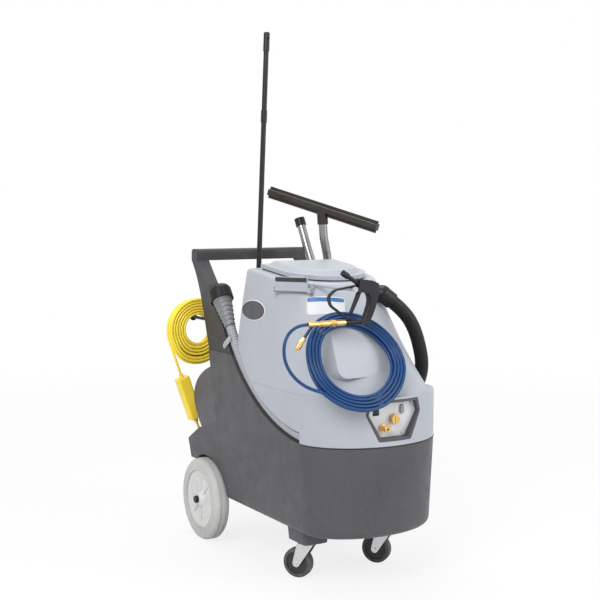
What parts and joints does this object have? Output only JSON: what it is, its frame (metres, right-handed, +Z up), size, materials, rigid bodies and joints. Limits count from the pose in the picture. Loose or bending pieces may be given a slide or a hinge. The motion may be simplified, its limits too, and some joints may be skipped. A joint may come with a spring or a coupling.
{
  "type": "carpet cleaning machine",
  "caption": "Wheeled carpet extractor with a solution base, domed recovery tank, push handle, drain hose, coiled solution hose, spray gun and upright floor tools.",
  "frame": {"origin": "on the floor, under the middle of the machine's length and width, without its cords and hoses", "axes": "+X to the front, where the casters and the control panel are, +Y to the machine's left, +Z up"},
  "size_m": [1.1025, 0.6806, 1.8842],
  "materials": {
    "base_plastic": "fine moulded grain",
    "tank_plastic": "smooth rotomoulded",
    "panel_white": "smooth",
    "black_plastic": "satin moulded",
    "black_rubber": "matt",
    "caster_rubber": "matt",
    "grey_tyre": "matt, non-marking",
    "wheel_white": "smooth",
    "button_grey": "smooth",
    "drain_grey": "ribbed, flexible",
    "black_hose": "smooth, flexible",
    "blue_hose": "smooth, flexible",
    "yellow_cord": "smooth sheath",
    "yellow_plastic": "moulded",
    "steel": "zinc plated",
    "black_steel": "black paint",
    "chrome": "bright",
    "dark_aluminium": "dark anodised",
    "brass": "turned"
  },
  "bodies": {
    "machine": {"base_tub": "base_plastic", "push_handle": "base_plastic", "rear_cover": "base_plastic", "tool_tray": "base_plastic", "panel_bezel": "base_plastic", "recovery_tank": "tank_plastic", "lid_hinge_pin": "steel", "panel_plate": "panel_white", "outlet_socket": "brass", "rear_axle": "steel", "axle_caps": "black_plastic", "caster_plates": "steel", "drain_hose": "drain_grey", "drain_cuff": "drain_grey", "drain_outlet": "steel", "hose_clip": "tank_plastic", "vac_inlet": "black_plastic", "vac_hose": "black_hose", "vac_cuff": "black_plastic", "float_cage": "panel_white", "vac_motor": "steel", "solution_pump": "black_plastic", "gun_body": "black_plastic", "gun_barrel": "black_plastic", "gun_coupler": "brass", "hose_lead": "blue_hose", "hose_coil": "blue_hose", "hose_end_coupler": "brass", "power_coil": "yellow_cord", "plug": "yellow_plastic", "gfci_box": "yellow_plastic", "pigtail": "yellow_cord", "cord_gland": "black_plastic", "cord_hooks": "black_steel"},
    "rear_wheel_right": {"rear_tyre_right": "grey_tyre", "rear_hub_right": "wheel_white"},
    "rear_wheel_left": {"rear_tyre_left": "grey_tyre", "rear_hub_left": "wheel_white"},
    "caster_right": {"caster_fork_right": "steel"},
    "caster_left": {"caster_fork_left": "steel"},
    "caster_wheel_right": {"caster_tyre_right": "caster_rubber", "caster_hub_right": "button_grey"},
    "caster_wheel_left": {"caster_tyre_left": "caster_rubber", "caster_hub_left": "button_grey"},
    "lid": {"tank_lid": "tank_plastic", "lid_gasket": "black_rubber"},
    "latch": {"lid_latch": "button_grey"},
    "switch": {"power_switch": "black_plastic"},
    "breaker": {"breaker_button": "button_grey"},
    "regulator": {"regulator_knob": "brass"},
    "collar": {"outlet_collar": "brass"},
    "trigger": {"gun_trigger": "black_plastic"},
    "drain_plug": {"drain_cap": "black_plastic"},
    "ball": {"float_ball": "panel_white"},
    "wand": {"wand_tube": "chrome", "squeegee_head": "dark_aluminium", "squeegee_blade": "black_rubber"},
    "second_tube": {"upper_tube": "chrome", "upper_tube_cuff": "black_plastic"},
    "handle_pole": {"pole": "black_steel"}
  },
  "joints": [
    {"name": "rear_wheel_right_roll", "type": "hinge", "parent": "machine", "child": "rear_wheel_right", "pos_m": [-0.364, -0.249, 0.1525], "axis": [0, 1, 0], "continuous": true},
    {"name": "rear_wheel_left_roll", "type": "hinge", "parent": "machine", "child": "rear_wheel_left", "pos_m": [-0.364, 0.249, 0.1525], "axis": [0, 1, 0], "continuous": true},
    {"name": "caster_right_swivel", "type": "hinge", "parent": "machine", "child": "caster_right", "pos_m": [0.238, -0.159, 0.119], "axis": [0, 0, 1], "continuous": true},
    {"name": "caster_right_roll", "type": "hinge", "parent": "caster_right", "child": "caster_wheel_right", "pos_m": [0.20933, -0.17908, 0.051], "axis": [0.5736, -0.8192, 0], "continuous": true},
    {"name": "caster_left_swivel", "type": "hinge", "parent": "machine", "child": "caster_left", "pos_m": [0.238, 0.159, 0.119], "axis": [0, 0, 1], "continuous": true},
    {"name": "caster_left_roll", "type": "hinge", "parent": "caster_left", "child": "caster_wheel_left", "pos_m": [0.20933, 0.13892, 0.051], "axis": [0.5736, -0.8192, 0], "continuous": true},
    {"name": "lid_hinge", "type": "hinge", "parent": "machine", "child": "lid", "pos_m": [-0.10448, 0, 1.04199], "axis": [0, -1, 0], "range_deg": [0, 80]},
    {"name": "latch_hinge", "type": "hinge", "parent": "machine", "child": "latch", "pos_m": [0.1691, -0.18346, 0.968], "axis": [0.8431, 0.5377, 0], "range_deg": [0, 75]},
    {"name": "switch_rock", "type": "hinge", "parent": "machine", "child": "switch", "pos_m": [0.478, -0.057, 0.598], "axis": [0, 1, 0], "range_deg": [-8, 8]},
    {"name": "breaker_press", "type": "slide", "parent": "machine", "child": "breaker", "axis": [-1, 0, 0], "range_m": [0, 0.003], "stiffness_N_per_m": 500},
    {"name": "regulator_turn", "type": "hinge", "parent": "machine", "child": "regulator", "pos_m": [0.496, 0.01, 0.566], "axis": [1, 0, 0], "range_deg": [0, 270]},
    {"name": "collar_pull", "type": "slide", "parent": "machine", "child": "collar", "axis": [-1, 0, 0], "range_m": [0, 0.005], "stiffness_N_per_m": 500},
    {"name": "trigger_pull", "type": "hinge", "parent": "machine", "child": "trigger", "pos_m": [0.438, -0.086, 0.989], "axis": [1, 0, 0], "range_deg": [0, 14], "stiffness_Nm_per_rad": 0.8},
    {"name": "drain_cap_pull", "type": "slide", "parent": "machine", "child": "drain_plug", "axis": [-0.5736, 0, 0.8192], "range_m": [0, 0.06]},
    {"name": "float_rise", "type": "slide", "parent": "machine", "child": "ball", "axis": [0, 0, 1], "range_m": [0, 0.034]},
    {"name": "wand_lift", "type": "slide", "parent": "machine", "child": "wand", "axis": [0, 0, 1], "range_m": [0, 0.1]},
    {"name": "second_tube_lift", "type": "slide", "parent": "machine", "child": "second_tube", "axis": [0, 0, 1], "range_m": [0, 0.1]},
    {"name": "pole_lift", "type": "slide", "parent": "machine", "child": "handle_pole", "axis": [0, 0.0419, 0.9991], "range_m": [0, 0.1]}
  ]
}
